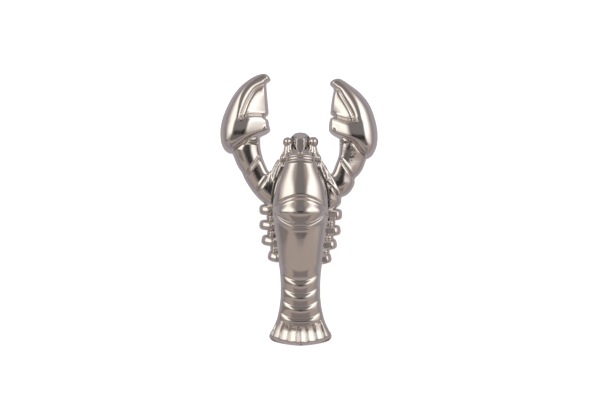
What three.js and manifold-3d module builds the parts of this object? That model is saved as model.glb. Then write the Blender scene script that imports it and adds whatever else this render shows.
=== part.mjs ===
// A hinged seafood cracker in the shape of a lobster: a back lever and a belly lever, joined by a
// pin that runs through the two eyes and the nose. The claws are castings of their own, screwed on
// to tongues at the ends of the arms. Millimetres; +Z up off the table, +Y from tail to claws.
import * as THREE from 'three';
import { mergeVertices } from 'three/addons/utils/BufferGeometryUtils.js';
import Module from 'manifold-3d';

const wasm = await Module();
wasm.setup();

// Driving dimensions.
const BELLY_RIM = 9.6; // top of the belly lever, where the back lever shuts on to it
const BACK_RIM = 9.9; // bottom of the back lever
const HINGE_Y = 43;
const HINGE_Z = 10;
const PIN_R = 1.5;
const KNUCKLE_R = 6.6; // the nose, which is round about the pin
const KNUCKLE_HALF = 4.6;
const KNUCKLE_GAP = 0.4;
const PIN_SIDES = 32;
const PRESSED = 0.05; // radial clearance in the eyes
const RUNNING = 0.1; // radial clearance in the nose
const EYE_X = 8.4;
const EYE_R = 3.2;
const SLOT_HALF = 5.6; // from the middle to each eye's inner face
const WASHER_T = 0.5;
const JAW = { front: 27, back: -7, low: 7, high: 13 }; // the gap between the tooth crests
const TOOTH_PITCH = 3.4;
const TOOTH_DEEP = 1.2;
const WALL = 2.6; // thickness of the hollow handles
const CAVITY = { front: -12, back: -76 };
const FAN_ARC = { y: -48.7, r: 40.7 }; // the tail fan's rounded end
const HEAD_FRONT = 36; // front face of the back lever, behind the nose
const COLLAR = { back: 30.3, front: 34.9, proud: 1.1 };
const RINGS = { at: [-41, -49.2, -57.4, -65.6], wide: 3.2, proud: 0.7, lean: 0.5 };
const CARAPACE_LINES = { deep: 0.8, wide: 1, front: { y: -1, lean: -0.6 }, rear: { y: -2, lean: 0.6 } };
const RIBS = { count: 8, spread: 16.6, y: -79.6, half: [2, 8.4, 1.9], turn: 0.42 };
const ROSTRUM = { half: 2.9, thick: 1.7, front: 2.3 };
const STALK = { from: [8.2, 34], half: 2.3, high: 2.8 };
const CLAW_HIGH = 16;
const CLAW_WALL = 2.6; // the claws are open underneath
const GROOVE_DEEP = 0.9; // of the lines on the claws and arms
const TONGUE_HIGH = 5; // where the arms end inside the claws
const FIT_GAP = 0.35;
const SCREW = { headR: 2.6, shankR: 1.3, headDeep: 1.5, long: 9, sunk: 0.25 };
const SCREW_BOSS_R = 4.6;

// Half-width and crown height of the back along Y, from the fan's end to the head.
const halfWidth = along([
  [-90, 21.6], [-84, 20.6], [-79, 18.3], [-72.7, 15.8], [-66, 14.2], [-60, 13.2], [-53, 12.9],
  [-45, 13.2], [-37, 14], [-27, 15.1], [-14, 17.1], [-2, 18.4], [5.5, 18.2], [18.6, 15.6],
  [26, 12.4], [30, 10.6], [36, 9.6],
]);
const crown = along([
  [-90, 2.2], [-84, 3], [-79, 4.4], [-72.7, 6.4], [-66, 7.6], [-60, 8.3], [-53, 8.8], [-45, 9.6],
  [-37, 10.6], [-27, 12], [-14, 13.4], [-2, 14], [5.5, 13.8], [18.6, 11.8], [26, 9.6], [30, 8.4],
  [36, 7.4],
]);

// One side of the belly lever's outline, from nose to fan.
const BELLY_SIDE = [
  [0, 49.6], [2.8, 49.2], [6.2, 46.4], [10.4, 40], [13, 33.4], [15.4, 27], [17.6, 20], [18.4, 8],
  [18.2, -4], [16.8, -15], [15, -27], [13.9, -37], [13.1, -45], [12.8, -53], [13.1, -60],
  [14.1, -66], [15.7, -72.7], [18.2, -79], [20.4, -84], [14.5, -87], [7.5, -88.8], [0, -89.4],
];

// Legs: outer end, half-length along Y.
const LEGS = [
  [-24.2, -0.4, 3], [-24, -11, 3.4], [-22.4, -20.4, 3.5], [-18.2, -31, 3.4],
  [24.2, -3.6, 3.3], [22.8, -14, 3.6], [20.2, -23.6, 3.4], [16.6, -32, 3.2],
];
const LEG_TOP = 7.6;
const LEG_ROOT = 12; // inside the body

// Each arm runs from under the carapace out to its claw; x is mirrored by side.
const ARMS = {
  left: { side: -1, path: [[14, 2], [21, 10.5], [28.5, 20], [33.2, 31], [36, 40]], tip: [39.5, 50] },
  right: { side: 1, path: [[14, 0], [21, 8.5], [28.5, 18], [32.6, 29], [35, 37]], tip: [38.5, 46] },
};
const ARM_JOINTS = {
  left: [[[-36, 21.6], [-27, 33.8]], [[-21.5, 20.4], [-30.5, 7.7]]],
  right: [[[24.7, 33.3], [36, 17.2]], [[16, 18.7], [28.2, 5]]],
};
const ARM_HALF = along([[0, 7.4], [0.3, 8], [0.6, 7.9], [1, 7.4]]);
const ARM_HIGH = along([[0, 8], [0.25, 9.6], [0.6, 10.6], [1, 10]]);
const TONGUE_HALF = 5.2;

// A claw's outline and spine for the left side, turned and mirrored for the right.
const CLAW_OUTLINE = [
  [-24.1, 88.4], [-20.4, 87], [-19.8, 84.4], [-22.2, 82.1], [-21.8, 75], [-21.2, 66], [-20.8, 58],
  [-19.8, 51.2], [-26.1, 46.9], [-34.4, 41.8], [-40.5, 36.9], [-45, 35.9], [-49.6, 38],
  [-52.2, 44], [-52.6, 51], [-51.4, 58], [-49, 64.7], [-45, 72.6], [-40, 79.3], [-34.4, 84.1],
  [-28.9, 87.2],
];
const CLAW_SPINE = [[-44.5, 41], [-45, 50], [-42.5, 62], [-36.5, 73], [-30, 80.5], [-24.2, 85.6]];
const CLAWS = {
  left: { mirror: 1, turn: 0, at: [0, 0] },
  right: { mirror: -1, turn: -4, at: [-1.4, -3.2] },
};
const CLAW_PIVOT = [-44, 50];
const FINGER_GROOVE = [[-23, 80.4], [-29.5, 76.6], [-34.6, 70], [-37.6, 63.4], [-38.6, 59.8]];
const PALM_GROOVE = [[-38.8, 59.2], [-30, 60.6], [-18, 60.2]];

const plated = new THREE.MeshStandardMaterial({ color: 0xc9c5c1, roughness: 0.07, metalness: 1 });
const steel = new THREE.MeshStandardMaterial({ color: 0xb4b4b6, roughness: 0.25, metalness: 1 });

// Smooth value through [key, value] pairs in rising order.
function along(pairs) {
  const f = new THREE.CubicInterpolant(pairs.map((p) => p[0]), pairs.map((p) => p[1]), 1);
  return (t) => f.evaluate(t)[0];
}

// Takes away the last digits, so that points on the base lie exactly on it.
const rounded = (v) => Math.round(v * 1e6) / 1e6;

function bare(geometry) {
  const g = geometry.index ? geometry.toNonIndexed() : geometry.clone();
  g.deleteAttribute('normal');
  g.deleteAttribute('uv');
  return mergeVertices(g, 1e-4);
}

function solid(geometry) {
  const g = bare(geometry);
  return new wasm.Manifold(new wasm.Mesh({
    numProp: 3,
    vertProperties: g.attributes.position.array,
    triVerts: new Uint32Array(g.index.array),
  }));
}

function mesh(name, shape, material) {
  const m = shape.getMesh();
  const points = new Float32Array(m.numVert * 3);
  for (let i = 0; i < m.numVert; i += 1) {
    points.set(m.vertProperties.subarray(i * m.numProp, i * m.numProp + 3), i * 3);
  }
  const g = new THREE.BufferGeometry();
  g.setAttribute('position', new THREE.BufferAttribute(points, 3));
  g.setIndex(new THREE.BufferAttribute(new Uint32Array(m.triVerts), 1));
  g.computeVertexNormals();
  const made = new THREE.Mesh(g, material);
  made.name = name;
  return made;
}

function moved(geometry, x, y, z) {
  return solid(geometry.translate(x, y, z));
}

function box(low, high) {
  const size = high.map((v, i) => v - low[i]);
  const mid = high.map((v, i) => (v + low[i]) / 2);
  return moved(new THREE.BoxGeometry(...size), ...mid);
}

// A cylinder along X about the hinge axis.
function aboutHinge(radius, from, to, sides = 32) {
  const g = new THREE.CylinderGeometry(radius, radius, to - from, sides);
  g.rotateZ(Math.PI / 2);
  return moved(g, (from + to) / 2, HINGE_Y, HINGE_Z);
}

function ball(x, y, z, rx, ry = rx, rz = rx, sides = 16) {
  return moved(new THREE.SphereGeometry(1, sides, sides * 0.625).scale(rx, ry, rz), x, y, z);
}

// A closed spline through points, as a Shape.
function outlineOf(points, samples) {
  const spline = new THREE.CatmullRomCurve3(
    points.map(([x, y]) => new THREE.Vector3(x, y, 0)), true, 'centripetal',
  );
  return new THREE.Shape(spline.getSpacedPoints(samples).slice(0, -1)
    .map((p) => new THREE.Vector2(p.x, p.y)));
}

function prism(shape, low, high) {
  return moved(new THREE.ExtrudeGeometry(shape, { depth: high - low, bevelEnabled: false }), 0, 0, low);
}

// A prism whose bottom edge is rounded.
function slab(shape, low, high, round) {
  const g = new THREE.ExtrudeGeometry(shape, {
    depth: high - low,
    bevelThickness: round,
    bevelSize: round,
    bevelOffset: -round,
    bevelSegments: 3,
  });
  return moved(g, 0, 0, low + round).intersect(box([-99, -99, low - 1], [99, 99, high]));
}

// An arch on a flat base, drawn along a path in plan: a stretched cylinder whose lower half is
// flattened. half and high give its half-width and height at a share t of the path, and lean moves
// the section back along the path as it rises.
function arch(path, {
  half, high, base, steps, sides = 24, power = 2.3, lean = 0,
}) {
  const g = new THREE.CylinderGeometry(1, 1, 1, sides, steps);
  const at = g.attributes.position;
  for (let i = 0; i < at.count; i += 1) {
    const t = at.getY(i) + 0.5;
    const centre = path.getPoint(t);
    const ahead = path.getTangent(t);
    const across = new THREE.Vector2(ahead.y, -ahead.x);
    const angle = Math.atan2(at.getZ(i), at.getX(i));
    const middle = Math.hypot(at.getX(i), at.getZ(i)) < 0.5;
    const up = Math.max(rounded(Math.sin(angle)), 0);
    const level = rounded(Math.cos(angle));
    const bend = up > 0 ? Math.sign(level) * Math.abs(level) ** (2 / power) : level;
    const side = middle ? 0 : bend * half(t);
    const rise = middle ? 0.1 : up ** (2 / power) * high(t);
    at.setXYZ(
      i,
      centre.x + across.x * side - ahead.x * lean * rise,
      centre.y + across.y * side - ahead.y * lean * rise,
      base + rise,
    );
  }
  return solid(g);
}

const plan = (x, y) => new THREE.Vector2(x, y);

const straight = (from, to) => new THREE.LineCurve(plan(0, from), plan(0, to));

// The back's own section between two places along Y, grown by a margin.
function backArch(from, to, grow, steps, lean = 0, sides = 28) {
  const at = (t) => from + (to - from) * t;
  return arch(straight(from, to), {
    half: (t) => halfWidth(at(t)) + grow,
    high: (t) => crown(at(t)) + grow,
    base: BACK_RIM,
    steps,
    sides,
    lean,
  });
}

// A thin leaning ring on the back's surface, from one margin outside it to another inside it.
function backRing(y, wide, outer, inner, lean) {
  return backArch(y - wide, y, outer, 1, lean).subtract(backArch(y - wide - 1, y + 1, inner, 1, lean));
}

// A row of teeth across X between the jaw's ends; up is 1 for crests upwards, -1 for downwards.
function toothPad(crest, root, half) {
  const shape = new THREE.Shape();
  const count = Math.floor((JAW.front - JAW.back) / TOOTH_PITCH) - 1;
  const start = JAW.back + 1.5;
  shape.moveTo(start, root);
  for (let i = 0; i < count; i += 1) {
    const valley = crest + Math.sign(root - crest) * TOOTH_DEEP;
    shape.lineTo(start + i * TOOTH_PITCH, valley);
    shape.lineTo(start + (i + 0.5) * TOOTH_PITCH, crest);
  }
  shape.lineTo(start + count * TOOTH_PITCH, crest + Math.sign(root - crest) * TOOTH_DEEP);
  shape.lineTo(start + count * TOOTH_PITCH, root);
  const g = new THREE.ExtrudeGeometry(shape, { depth: half * 2, bevelEnabled: false });
  g.applyMatrix4(new THREE.Matrix4().makeBasis(
    new THREE.Vector3(0, 1, 0), new THREE.Vector3(0, 0, 1), new THREE.Vector3(1, 0, 0),
  ));
  return moved(g, -half, 0, 0);
}

// Ribs fanned over the tail.
function tailRibs() {
  const ribs = [];
  for (let i = 0; i < RIBS.count; i += 1) {
    const fan = (i - (RIBS.count - 1) / 2) / (RIBS.count / 2);
    const rib = new THREE.SphereGeometry(1, 10, 8).scale(...RIBS.half).rotateZ(fan * RIBS.turn);
    const fall = Math.sqrt(1 - 0.75 * fan * fan);
    ribs.push(moved(rib, fan * RIBS.spread, RIBS.y + 2.6 * fan * fan, BACK_RIM + crown(RIBS.y) * fall));
  }
  return ribs;
}

function buildBackLever() {
  let body = backArch(-90, HEAD_FRONT, 0, 44);
  const under = -1.5; // how far a ring reaches into the back
  for (const y of RINGS.at) {
    body = body.add(backRing(y, RINGS.wide, RINGS.proud, under, RINGS.lean));
  }
  body = body.add(backRing(COLLAR.front, COLLAR.front - COLLAR.back, COLLAR.proud, under, 0));
  const { deep, wide, front, rear } = CARAPACE_LINES;
  for (const { y, lean } of [front, rear]) body = body.subtract(backRing(y, wide, 1.5, -deep, lean));
  for (const rib of tailRibs()) body = body.add(rib);
  const fanDisc = new THREE.CylinderGeometry(FAN_ARC.r, FAN_ARC.r, 60, 96).rotateX(Math.PI / 2);
  body = body.intersect(moved(fanDisc, 0, FAN_ARC.y, 0)
    .add(box([-40, -60, -5], [40, 60, 40])));
  body = body.intersect(box([-40, -95, BACK_RIM], [40, 60, 40]));

  // The rostrum wraps over the nose; the eyes are the bosses that hold the pin.
  const rostrum = aboutHinge(KNUCKLE_R + KNUCKLE_GAP + ROSTRUM.thick, -ROSTRUM.half, ROSTRUM.half)
    .intersect(box([-9, HEAD_FRONT - 1, HINGE_Z + 1], [9, HINGE_Y + ROSTRUM.front, 30]));
  body = body.add(rostrum);
  for (const side of [-1, 1]) {
    const root = plan(side * STALK.from[0], STALK.from[1]);
    const stalk = arch(new THREE.LineCurve(root, plan(side * EYE_X, HINGE_Y)), {
      half: () => STALK.half, high: () => STALK.high, base: BACK_RIM, steps: 3, sides: 12,
    });
    body = body.add(stalk).add(ball(side * EYE_X, HINGE_Y, HINGE_Z, EYE_R));
  }
  body = body.subtract(aboutHinge(KNUCKLE_R + KNUCKLE_GAP, -SLOT_HALF, SLOT_HALF, 40));
  body = body.subtract(aboutHinge(PIN_R + PRESSED, -20, 20, PIN_SIDES));

  // Hollow handle, open downwards, and the raised jaw with its teeth.
  const hollow = backArch(CAVITY.back, CAVITY.front, -WALL, 14, 0, 20);
  const mouth = box([-9, CAVITY.back + 3, BACK_RIM - 2], [9, CAVITY.front - 3, BACK_RIM + 2]);
  body = body.subtract(hollow.add(mouth));
  const roof = JAW.high + TOOTH_DEEP;
  body = body.subtract(box([-30, JAW.back, 0], [30, JAW.front, roof]));
  return body.add(toothPad(JAW.high, roof + 2, 11)
    .intersect(box([-30, JAW.back, 0], [30, JAW.front, roof + 1])));
}

// An arm with the flat tongue at its end that enters the claw, grown all round by a margin.
function armSolid({ side, path, tip }, grow = 0) {
  const points = path.map(([x, y]) => plan(side * x, y));
  const end = points[points.length - 1];
  const ahead = plan(side * tip[0], tip[1]).sub(end).normalize();
  points[points.length - 1] = end.clone().addScaledVector(ahead, grow);
  const limb = arch(new THREE.SplineCurve(points), {
    half: (t) => ARM_HALF(t) + grow,
    high: (t) => ARM_HIGH(t) + grow,
    base: 0,
    steps: 14,
    sides: 20,
    power: 2.8,
  });
  const tongueEnd = plan(side * tip[0], tip[1]).addScaledVector(ahead, grow);
  const tongue = arch(new THREE.LineCurve(end.clone().addScaledVector(ahead, -3), tongueEnd), {
    half: () => TONGUE_HALF + grow,
    high: () => TONGUE_HIGH + grow,
    base: 0,
    steps: 1,
    sides: 16,
    power: 8,
  });
  return limb.add(tongue);
}

function screwAt({ side, tip }) {
  return [side * (tip[0] - 1.2), tip[1] - 4.2];
}

// Room for the screw's shank and its countersunk head, cut up from the table side.
function screwHole(x, y) {
  const { headR, shankR, headDeep, sunk } = SCREW;
  const profile = [
    [0, -1], [headR + 0.3, -1], [headR + 0.3, sunk], [shankR + 0.25, headDeep + sunk + 0.3],
    [shankR + 0.25, SCREW.long + 1], [0, SCREW.long + 1],
  ].map(([r, z]) => new THREE.Vector2(r, z));
  return moved(new THREE.LatheGeometry(profile, 20).rotateX(Math.PI / 2), x, y, 0);
}

function buildBellyLever() {
  const mirrored = BELLY_SIDE.slice(1, -1).reverse().map(([x, y]) => [-x, y]);
  const outline = outlineOf([...BELLY_SIDE, ...mirrored], 120);
  let body = slab(outline, 0, BELLY_RIM, 2.4);

  // Low shelf round the eyes, then the nose that the pin runs through.
  for (const s of [-1, 1]) {
    const xs = [s * KNUCKLE_HALF, s * 20].sort((a, b) => a - b);
    body = body.subtract(box([xs[0], HEAD_FRONT - 0.6, HINGE_Z - EYE_R - KNUCKLE_GAP], [xs[1], 60, 30]));
  }
  body = body.add(aboutHinge(KNUCKLE_R, -KNUCKLE_HALF, KNUCKLE_HALF, 40)
    .intersect(prism(outline, 0, 30)));
  const behindNose = box([-20, JAW.front, BELLY_RIM - 3], [20, HEAD_FRONT - 0.6, BELLY_RIM + 9]);
  body = body.subtract(behindNose.subtract(box([-30, 20, 0], [30, 60, BELLY_RIM])));

  for (const [name, arm] of Object.entries(ARMS)) {
    const core = armSolid(arm, -GROOVE_DEEP);
    let limb = armSolid(arm);
    for (const joint of ARM_JOINTS[name]) {
      limb = limb.subtract(ribbon(joint, 0.9, 4, 30).subtract(core));
    }
    body = body.add(limb).subtract(screwHole(...screwAt(arm)));
  }
  for (const [x, y, half] of LEGS) {
    const leg = arch(new THREE.LineCurve(plan(Math.sign(x) * LEG_ROOT, y + 1), plan(x, y)), {
      half: () => half, high: () => LEG_TOP, base: 0, steps: 1, sides: 14,
    });
    const foot = ball(x, y, 0, half, half, LEG_TOP, 16).intersect(box([-60, -60, 0], [60, 60, 30]));
    body = body.add(leg).add(foot);
  }
  body = body.subtract(aboutHinge(PIN_R + RUNNING, -20, 20, PIN_SIDES));

  // Hollow handle, open upwards, and the lowered jaw with its teeth.
  const inside = BELLY_SIDE.filter(([, y]) => y < CAVITY.front && y > CAVITY.back)
    .map(([x, y]) => [x - WALL, y]);
  const pocket = outlineOf([
    ...inside, ...inside.slice().reverse().map(([x, y]) => [-x, y]),
  ], 60);
  body = body.subtract(prism(pocket, WALL, BELLY_RIM + 1));
  const floor = JAW.low - TOOTH_DEEP;
  body = body.subtract(box([-17.6, JAW.back, floor], [17.6, JAW.front, BELLY_RIM + 10]));
  return body.add(toothPad(JAW.low, floor - 2, 13)
    .intersect(box([-30, JAW.back, floor - 1], [30, JAW.front, 30])));
}

// Left-side claw coordinates to one claw's own place.
function clawPlace({ mirror, turn, at }) {
  const angle = THREE.MathUtils.degToRad(turn) * mirror;
  return ([x, y]) => {
    const dx = (x - CLAW_PIVOT[0]) * mirror;
    const dy = y - CLAW_PIVOT[1];
    return [
      CLAW_PIVOT[0] * mirror + dx * Math.cos(angle) - dy * Math.sin(angle) + at[0],
      CLAW_PIVOT[1] + dx * Math.sin(angle) + dy * Math.cos(angle) + at[1],
    ];
  };
}

// A dome over the outline that rises to the spine, made smaller all round by a wall's thickness.
// A smaller one also reaches below the table, so that it cuts the claw open underneath.
function clawDome(place, wall, sides, rings) {
  const points = outlineOf(CLAW_OUTLINE.map(place), sides).getPoints().slice(0, sides);
  const spine = new THREE.SplineCurve(CLAW_SPINE.map(place).map(([x, y]) => plan(x, y))).getPoints(60);
  const order = THREE.ShapeUtils.isClockWise(points) ? points.reverse() : points;
  const last = 1.35; // how far up the quarter circle the topmost ring lies, in radians
  const peak = 0.9; // height of the middle of the top, as a share of the greatest height
  const g = new THREE.CylinderGeometry(1, 1, 1, sides, rings);
  const at = g.attributes.position;
  for (let i = 0; i < at.count; i += 1) {
    const turn = Math.atan2(at.getX(i), at.getZ(i)) / (2 * Math.PI);
    const middle = Math.hypot(at.getX(i), at.getZ(i)) < 0.5;
    const p = order[Math.round((turn + 1) * sides) % sides];
    const rise = (at.getY(i) + 0.5) * last;
    let near = 0;
    spine.forEach((s, k) => {
      if (s.distanceTo(p) < spine[near].distanceTo(p)) near = k;
    });
    const inward = spine[near].clone().sub(p);
    const edge = p.clone().addScaledVector(inward, Math.min(wall / inward.length(), 0.6));
    const high = CLAW_HIGH * (1 - 0.42 * (near / spine.length) ** 2) - wall;
    const plane = middle ? spine[30] : edge.lerp(spine[near], 1 - Math.cos(rise));
    const top = middle ? CLAW_HIGH * peak - wall : high * Math.sin(rise);
    at.setXYZ(i, plane.x, plane.y, at.getY(i) < -0.49 ? -wall : top);
  }
  return solid(g);
}

// An upright ribbon of even width that follows points in plan.
function ribbon(points, width, low, high) {
  const curve = new THREE.SplineCurve(points.map(([x, y]) => new THREE.Vector2(x, y)));
  const left = [];
  const right = [];
  for (let i = 0; i <= 10; i += 1) {
    const p = curve.getPoint(i / 10);
    const t = curve.getTangent(i / 10);
    left.push(new THREE.Vector2(p.x - t.y * width / 2, p.y + t.x * width / 2));
    right.push(new THREE.Vector2(p.x + t.y * width / 2, p.y - t.x * width / 2));
  }
  return prism(new THREE.Shape([...left, ...right.reverse()]), low, high);
}

// The claw's inside, but for a sleeve round the arm's end and a boss for the screw.
function clawCavity(name, place) {
  const [x, y] = screwAt(ARMS[name]);
  const boss = new THREE.CylinderGeometry(SCREW_BOSS_R, SCREW_BOSS_R, 60, 20).rotateX(Math.PI / 2);
  return clawDome(place, CLAW_WALL, 40, 5)
    .subtract(armSolid(ARMS[name], FIT_GAP + CLAW_WALL))
    .subtract(moved(boss, x, y, 0));
}

function buildClaw(name) {
  const place = clawPlace(CLAWS[name]);
  let body = clawDome(place, 0, 72, 8);
  const lines = ribbon(FINGER_GROOVE.map(place), 2.4, 6, 30)
    .add(ribbon(PALM_GROOVE.map(place), 1.8, 6, 30));
  body = body.subtract(lines.subtract(clawDome(place, GROOVE_DEEP, 72, 8)));
  body = body.subtract(clawCavity(name, place));
  const room = armSolid(ARMS[name], FIT_GAP);
  body = body.subtract(room.add(room.translate([0, 0, -1])));
  return body.subtract(screwHole(...screwAt(ARMS[name])));
}

function buildScrew(arm) {
  const { headR, shankR, headDeep, long, sunk } = SCREW;
  const [x, y] = screwAt(arm);
  const profile = [[0, 0], [headR, 0], [shankR, headDeep], [shankR, long], [0, long + 0.6]]
    .map(([r, z]) => new THREE.Vector2(r, z));
  let screw = moved(new THREE.LatheGeometry(profile, 20).rotateX(Math.PI / 2), x, y, sunk);
  for (const [w, l] of [[0.7, 3.2], [3.2, 0.7]]) {
    screw = screw.subtract(box([x - w / 2, y - l / 2, -1], [x + w / 2, y + l / 2, sunk + 0.9]));
  }
  return screw;
}

function buildWasher(side) {
  const ring = aboutHinge(3.2, 0, WASHER_T, 24).subtract(aboutHinge(PIN_R + 0.25, -1, 1, 24));
  return ring.translate([side > 0 ? 4.85 : -4.85 - WASHER_T, 0, 0]);
}

const cracker = new THREE.Group();
cracker.add(mesh('belly_lever', buildBellyLever(), plated));
cracker.add(mesh('back_lever', buildBackLever(), plated));
cracker.add(mesh('left_claw', buildClaw('left'), plated));
cracker.add(mesh('right_claw', buildClaw('right'), plated));
cracker.add(mesh('hinge_pin', aboutHinge(PIN_R, -11.3, 11.3, PIN_SIDES), steel));
cracker.add(mesh('left_hinge_washer', buildWasher(-1), steel));
cracker.add(mesh('right_hinge_washer', buildWasher(1), steel));
cracker.add(mesh('left_claw_screw', buildScrew(ARMS.left), steel));
cracker.add(mesh('right_claw_screw', buildScrew(ARMS.right), steel));

export default cracker;
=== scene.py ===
"""A bright-plated lobster cracker, seen from straight above on a pale table.

Each casting is a smooth solid given by a function of (x, y, z) in millimetres, negative inside.
The functions are joined with rounded fillets, and turned into one mesh of even small faces.
The head points to +y, and the castings stand on z = 0. The pin, washers and screws are the CAD solids.
"""
import math

import bpy
import numpy as np
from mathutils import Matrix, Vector


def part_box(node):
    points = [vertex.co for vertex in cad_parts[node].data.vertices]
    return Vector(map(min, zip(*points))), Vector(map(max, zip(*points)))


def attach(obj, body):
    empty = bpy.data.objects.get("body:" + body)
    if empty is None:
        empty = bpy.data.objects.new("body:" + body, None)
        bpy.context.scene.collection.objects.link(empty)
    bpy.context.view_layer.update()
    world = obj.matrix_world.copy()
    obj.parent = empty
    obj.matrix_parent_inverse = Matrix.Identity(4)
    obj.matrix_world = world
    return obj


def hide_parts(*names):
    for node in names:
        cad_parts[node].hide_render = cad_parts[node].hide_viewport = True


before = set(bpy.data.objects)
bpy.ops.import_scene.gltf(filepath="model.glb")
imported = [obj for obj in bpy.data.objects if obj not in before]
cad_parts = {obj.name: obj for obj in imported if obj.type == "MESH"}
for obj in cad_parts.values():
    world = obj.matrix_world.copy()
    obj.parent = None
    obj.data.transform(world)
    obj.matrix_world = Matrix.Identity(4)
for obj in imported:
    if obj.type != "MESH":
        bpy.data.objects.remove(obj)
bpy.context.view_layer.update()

MM = 0.001
RIM = 9.6  # height where the two levers meet
BACK_RIM = RIM + 0.3  # underside of the back lever, just clear of the belly lever
FLOOR = 0.05  # underside of the belly lever and the claws
HINGE = (43.0, 10.0)  # y, z of the pin's axis
HANDLE = (-76, -12)  # y of the ends of the hollow handles
JAW = (-7, 27)  # y of the ends of the toothed jaws
CLAW_WALL = 2.5  # the claws' sides stand straight up to here
CLAW_THICK = 2.6  # thickness of the claws' sides
ARM_WALL = 3.2  # the arms' sides stand straight up to here
ARM_RISE = 8.2  # and the arms rise this much more
LEG_HEIGHT = 8.4
NOSE_HALF = 4.8  # half width of the nose that the pin goes through
SLOT_HALF = 5.45  # half width of the slot it turns in
NOSE_HOLE_R = 1.6
EYE_HOLE_R = 1.58
SCREW_HEAD_R = 2.9
SCREW_SHANK_R = 1.55
TOOTH_PITCH = 3.4


# ---------------------------------------------------------------- smooth functions

def union(a, b, k=0.6):
    """The smaller of two distances, with a fillet of about k millimetres."""
    h = np.maximum(k - np.abs(a - b), 0) / k
    return np.minimum(a, b) - h ** 3 * k / 6


def cut(a, b, k=0.6):
    """The larger of two distances, with a rounded edge."""
    return -union(-a, -b, k)


def step(v, low, high):
    """0 below low, 1 above high, and smooth between."""
    t = np.clip((v - low) / (high - low), 0, 1)
    return t * t * t * (t * (6 * t - 15) + 10)


def bell(v, width):
    """1 at v = 0, falling smoothly to 0 on both sides."""
    return np.exp(-(v / width) ** 2)


class Line:
    """A natural cubic spline through (key, value) pairs."""

    def __init__(self, pairs):
        k, v = (np.array(c, float) for c in zip(*pairs))
        n = len(k)
        h = np.diff(k)
        m = np.eye(n)
        r = np.zeros(n)
        for i in range(1, n - 1):
            m[i, i - 1], m[i, i], m[i, i + 1] = h[i - 1], 2 * (h[i - 1] + h[i]), h[i]
            r[i] = 6 * ((v[i + 1] - v[i]) / h[i] - (v[i] - v[i - 1]) / h[i - 1])
        self.k, self.v, self.h, self.m = k, v, h, np.linalg.solve(m, r)

    def __call__(self, q):
        q = np.clip(q, self.k[0], self.k[-1])
        i = np.clip(np.searchsorted(self.k, q) - 1, 0, len(self.h) - 1)
        a, b, h = self.k[i + 1] - q, q - self.k[i], self.h[i]
        bend = (self.m[i] * a ** 3 + self.m[i + 1] * b ** 3) / (6 * h)
        left = (self.v[i] / h - self.m[i] * h / 6) * a
        right = (self.v[i + 1] / h - self.m[i + 1] * h / 6) * b
        return bend + left + right


def curve(points, closed=False, per=8):
    """Points along a Catmull-Rom curve through the given ones."""
    p = np.array(points, float)
    if closed:
        p = np.vstack([p[-1], p, p[:2]])
    else:
        p = np.vstack([2 * p[0] - p[1], p, 2 * p[-1] - p[-2]])
    t = np.linspace(0, 1, per, endpoint=False)[:, None]
    out = []
    for a, b, c, d in zip(p, p[1:], p[2:], p[3:]):
        square = 2 * a - 5 * b + 4 * c - d
        cube = 3 * b - a - 3 * c + d
        out.append(0.5 * (2 * b + (c - a) * t + square * t ** 2 + cube * t ** 3))
    made = np.vstack(out)
    return made if closed else np.vstack([made, p[-2]])


def cubic_weights(f):
    """Weights, times 6, of four neighbours in a row for a point a share f past the second."""
    return [(1 - f) ** 3, 3 * f ** 3 - 6 * f ** 2 + 4, -3 * f ** 3 + 3 * f ** 2 + 3 * f + 1, f ** 3]


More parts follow.
